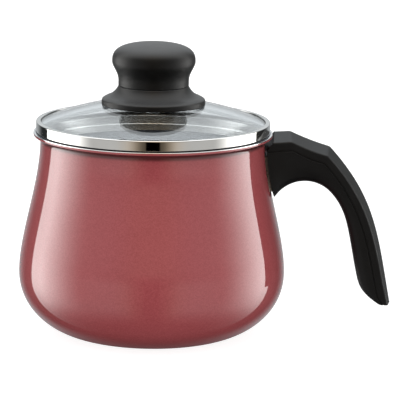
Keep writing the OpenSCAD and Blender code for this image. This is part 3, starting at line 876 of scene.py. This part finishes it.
def tilted_bore(tilt, radius):
    """A cutter square to the glass: an upright bore turned about X round the centre of the spheres."""
    cutter = bore(0.0, under_r - 6, dome_r + 6, radius, 48)
    cutter.data.transform(Matrix.Translation((0, 0, dome_z * MM)) @ Matrix.Rotation(tilt, 4, "X"))
    return cutter


vent_out = 46.0
vent_r = 2.2
carve(glass, [tilted_bore(-math.asin(vent_out / dome_r), vent_r)])


def true_normals(piece):
    """Corners on the two spheres get the spheres' own normals, so the hole leaves no mark."""
    mesh = piece.data
    faces = np.zeros(len(mesh.polygons) * 3)
    mesh.polygons.foreach_get("center", faces)
    faces = faces.reshape(-1, 3) - [0, 0, dome_z * MM]
    sizes = np.zeros(len(mesh.polygons), int)
    mesh.polygons.foreach_get("loop_total", sizes)
    away = np.repeat(np.linalg.norm(faces, axis=1), sizes)
    flat_r = np.repeat(np.hypot(faces[:, 0], faces[:, 1]), sizes)
    normals = np.zeros(len(mesh.loops) * 3)
    mesh.corner_normals.foreach_get("vector", normals)
    normals = normals.reshape(-1, 3)
    corner = np.zeros(len(mesh.loops), int)
    mesh.loops.foreach_get("vertex_index", corner)
    points = np.zeros(len(mesh.vertices) * 3)
    mesh.vertices.foreach_get("co", points)
    out = points.reshape(-1, 3)[corner] - [0, 0, dome_z * MM]
    out /= np.linalg.norm(out, axis=1, keepdims=True)
    near = 0.12
    whole = (flat_r > (hole_r + 0.6) * MM) & (flat_r < (glass_r - 0.8) * MM)
    upper = whole & (away > (dome_r - near) * MM)
    lower = whole & (away < (under_r + near) * MM)
    normals[upper] = out[upper]
    normals[lower] = -out[lower]
    mesh.normals_split_custom_set(normals.tolist())
    print("glass corners set on the spheres:", int(upper.sum()), "above,", int(lower.sum()), "below")


true_normals(glass)
glass.data.materials.clear()
glass.data.materials.append(glass_clear)
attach(glass, "lid")
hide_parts("lid_glass")

# %% [markdown]
# ## The knob
# Two mouldings: a foot that spreads the load on the glass and flares up to a waist, and a mushroom cap that
# screws down onto it. They meet at a fine seam. Both are turned shapes, and the cap carries a boss that
# reaches down through the foot and holds the brass insert.

# %% Knob foot and cap
knob_z = glass_z(knob_foot_r) + fit_gap
ledge_z = glass_z(9.2)
waist_r = 21.4
boss_r = 8.0
insert_z = seam_z - 6
flare = bezier([[knob_foot_r - 2.6, knob_z + 4.7], [waist_r + 3.6, seam_z - 5.6], [waist_r + 1, seam_z - 2.6],
                [waist_r, seam_z - 0.25]], np.linspace(0, 1, 25))
under_foot = np.linspace(boss_r + 1.3, knob_foot_r - 1.0, 12)
base_line, base_tags = profile(
    corners([(boss_r + 0.2, ledge_z + 1.1, 0.05), (boss_r + 1.2, ledge_z + 1.1, 0.05),
             (boss_r + 1.2, ledge_z + fit_gap, 0.05)]),
    plain(np.stack([under_foot, glass_z(under_foot) + fit_gap], axis=1)),
    corners([(knob_foot_r, knob_z + 0.05, 0.5), (knob_foot_r - 0.1, knob_z + 3.3, 0.9)]),
    plain(flare), corners([(waist_r - 0.2, seam_z, 0.05), (boss_r + 0.2, seam_z, 0.1)]))
knob_base = revolve("knob_foot", base_line, base_tags, ring=True)

cap_h = knob_top - seam_z
widest = seam_z + 0.575 * cap_h
swell = bezier([[waist_r - 0.1, seam_z + 3.4], [waist_r, seam_z + 8.6],
                [cap_r, widest - 3.4], [cap_r, widest]], np.linspace(0, 1, 33))
crown = bezier([[cap_r, widest], [cap_r, widest + 5.4], [23.4 / 25.2 * cap_r, knob_top], [0, knob_top]],
               np.linspace(0, 1, 49))
cap_line, cap_tags = profile(
    plain([[0, seam_z + 6]]), corners([(4.0, seam_z + 6, 0.05), (4.0, insert_z, 0.1), (boss_r, insert_z, 0.4),
                                       (boss_r, seam_z + 0.02, 0.1), (waist_r - 0.5, seam_z + 0.02, 0.1),
                                       (waist_r - 0.1, seam_z + 0.45, 0.3)]),
    plain(swell), plain(crown[1:]))
knob_cap = revolve("knob_mushroom", cap_line, cap_tags)
for piece, node in ((knob_base, "knob_base"), (knob_cap, "knob_cap")):
    piece.data.materials.append(knob_black)
    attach(piece, "lid")
    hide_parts(node)

# %% [markdown]
# ## Fittings
# The bracket, rivets, screws, washers, insert, gaskets and vent keep their CAD meshes, which have the right
# shape already, and get the finish of their metal or rubber.

# %% Finishes on the CAD fittings
fittings = {"handle_bracket": fitting_steel, "bracket_rivets": rivet_alloy, "bracket_nut": fitting_steel,
            "handle_screw": fitting_steel, "handle_washer": fitting_steel, "vent_eyelet": steel,
            "knob_insert": brass, "knob_screw": fitting_steel, "knob_washer": fitting_steel,
            "knob_lower_gasket": rubber, "knob_upper_gasket": rubber}
for node, finish in fittings.items():
    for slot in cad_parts[node].material_slots:
        slot.link = "OBJECT"
        slot.material = finish
    print(node, "->", finish.name)


# %% [markdown]
# ## The studio
# The pan stands on a pale floor before a plain white background. Glossy things show the room round them
# more than themselves, so the room is drawn as a sky for what is mirrored or seen through glass: long
# bright panels at both sides that fade towards the front, a bright ceiling, dark flags behind the panels,
# and a narrow dark gap in front.
# It is warm in front and cool behind. The floor is seen by the eye and lies under the pan, but takes no part
# in reflections, where the sky has its own lower half.

# %% Floor
def pale_floor():
    """Grey that glows to nearly white, and see-through from below."""
    made = bpy.data.materials.new("pale_floor")
    made.use_nodes = True
    tree = made.node_tree
    tree.nodes.clear()
    place = Wire(tree).node("ShaderNodeTexCoord", out="Object")
    face = place.node("ShaderNodeBsdfPrincipled", None, {
        "Base Color": place.noise(3.0).colours((0.34, 0.34, 0.34), (0.36, 0.36, 0.36)), "Roughness": 0.8,
        "Emission Color": (1, 1, 1, 1), "Emission Strength": 0.9})
    back = place.node("ShaderNodeNewGeometry", out="Backfacing")
    gone = place.node("ShaderNodeBsdfTransparent")
    mixed = place.node("ShaderNodeMixShader", None, {0: back, 1: face, 2: gone})
    place.node("ShaderNodeOutputMaterial", None, {"Surface": mixed})
    return made


reach = 14.0
corner_points = [(-reach, -reach, 0), (reach, -reach, 0), (reach, reach, 0), (-reach, reach, 0)]
floor_mesh = bpy.data.meshes.new("floor")
floor_mesh.from_pydata([(x, y, -0.0002) for x, y, _ in corner_points], [], [(0, 1, 2, 3)])
floor = bpy.data.objects.new("floor", floor_mesh)
bpy.context.scene.collection.objects.link(floor)
floor_mesh.materials.append(pale_floor())
floor.visible_glossy = False
floor.visible_diffuse = False
floor.visible_shadow = False
print("floor", 2 * reach, "metres wide")


# %% Sky
def studio_sky():
    """Brightness by the angle round from the front and by the height: sums and products of smooth steps.

    Camera rays see plain white, diffuse rays a soft untinted light, and all others the tinted room.
    """
    world = bpy.data.worlds.new("studio")
    bpy.context.scene.world = world
    world.use_nodes = True
    world.cycles.sampling_method = "NONE"
    tree = world.node_tree
    tree.nodes.clear()
    way = Wire(tree).node("ShaderNodeTexCoord", out="Generated")
    x = way.node("ShaderNodeSeparateXYZ", None, {0: way}, out=0)
    y = way.node("ShaderNodeSeparateXYZ", None, {0: way}, out=1)
    z = way.node("ShaderNodeSeparateXYZ", None, {0: way}, out=2)
    turn = x.math("ARCTAN2", x.math("ABSOLUTE", x), 0 - y) * (180 / math.pi)
    edge_turn = x.step(-0.01, 0.01).between(126.5, 121.0)
    flags = 1 - (turn - edge_turn).step(-1.0, 1.0)
    table = (turn.step(6.4, 7.4) * 0.12 + turn.step(7, 26) * 0.54) * (1 - z.step(-0.05, 0.12))
    warm_strip = (1 - turn.step(35, 60)) * z.step(0.04, 0.12) * (1 - z.step(0.2, 0.32)) * 0.12
    wall_turn = turn.step(30, 75).between(0.3, 0.7)
    wall_light = warm_strip + wall_turn * z.step(-0.02, 0.12) * (1 - z.step(0.2, 0.5) * 0.5)
    side = x.step(-0.01, 0.01).between(4.7, 4.1) * (1 - turn.step(108, 127) * 0.35)
    panel = turn.step(60, 112) * side * z.step(-0.8, -0.1)
    panel = panel * (1 - z.step(0.6, 0.85)) * (1 - z.step(0.05, 0.2) * 0.35)
    behind = turn.step(138, 162).between(0.03, 0.45) + z.step(-0.05, 0.3) * turn.step(130, 160) * 0.45
    above = z.step(0.45, 0.9) * 1.75
    low = z.step(-0.95, -0.45).between(0.03, 1.0)
    glossy = ((table + wall_light + panel) * flags + behind * (1 - flags)) * low + above
    spread = z.step(-0.95, -0.2).between(0.52, 1.0) * (1.0 - turn.step(60, 140) * 0.62) + z.step(0, 1) * 0.2
    camera = way.node("ShaderNodeLightPath", out="Is Camera Ray")
    diffuse = way.node("ShaderNodeLightPath", out="Is Diffuse Ray")
    level = glossy * (1 - diffuse) + spread * diffuse
    strength = level * (1 - camera) + camera
    warm = turn.step(8, 40).colours((1.0, 0.80, 0.58), (1.0, 0.995, 0.975))
    cool = turn.step(128, 140)
    tint = cool.mix(warm, (0.93, 0.975, 1.0, 1.0))
    mirrored = (1 - camera) * (1 - diffuse)
    colour = mirrored.mix((1.0, 1.0, 1.0, 1.0), tint)
    light = way.node("ShaderNodeBackground", None, {"Color": colour, "Strength": strength})
    way.node("ShaderNodeOutputWorld", None, {"Surface": light})
    print("sky with", len(tree.nodes), "nodes")


studio_sky()
bpy.context.scene.view_settings.view_transform = "Standard"

# %% [markdown]
# ## The camera
# It stands 1.6 m in front with a long lens, looks down 11.5 degrees and about one degree to the right, and
# is rolled by less than a degree. Its matrix is made from three directions: right, up and backwards.

# %% Camera
pitch, yaw, roll = (math.radians(v) for v in (-11.52, 1.037, 0.8))
forward = np.array([math.sin(yaw) * math.cos(pitch), math.cos(yaw) * math.cos(pitch), math.sin(pitch)])
right = np.array([math.cos(yaw), -math.sin(yaw), 0.0])
up = np.cross(right, forward)
rolled_right = right * math.cos(roll) + up * math.sin(roll)
rolled_up = up * math.cos(roll) - right * math.sin(roll)
camera_data = bpy.data.cameras.new("camera")
camera_data.sensor_width = 36.0
camera_data.lens = 241.3
camera_data.clip_end = 40.0
camera = bpy.data.objects.new("camera", camera_data)
camera.matrix_world = Matrix(np.column_stack([rolled_right, rolled_up, -forward]).tolist()).to_4x4()
camera.location = (0.0, -1.6, 0.4075)
bpy.context.scene.collection.objects.link(camera)
bpy.context.scene.camera = camera
print("camera lens", camera_data.lens, "mm")
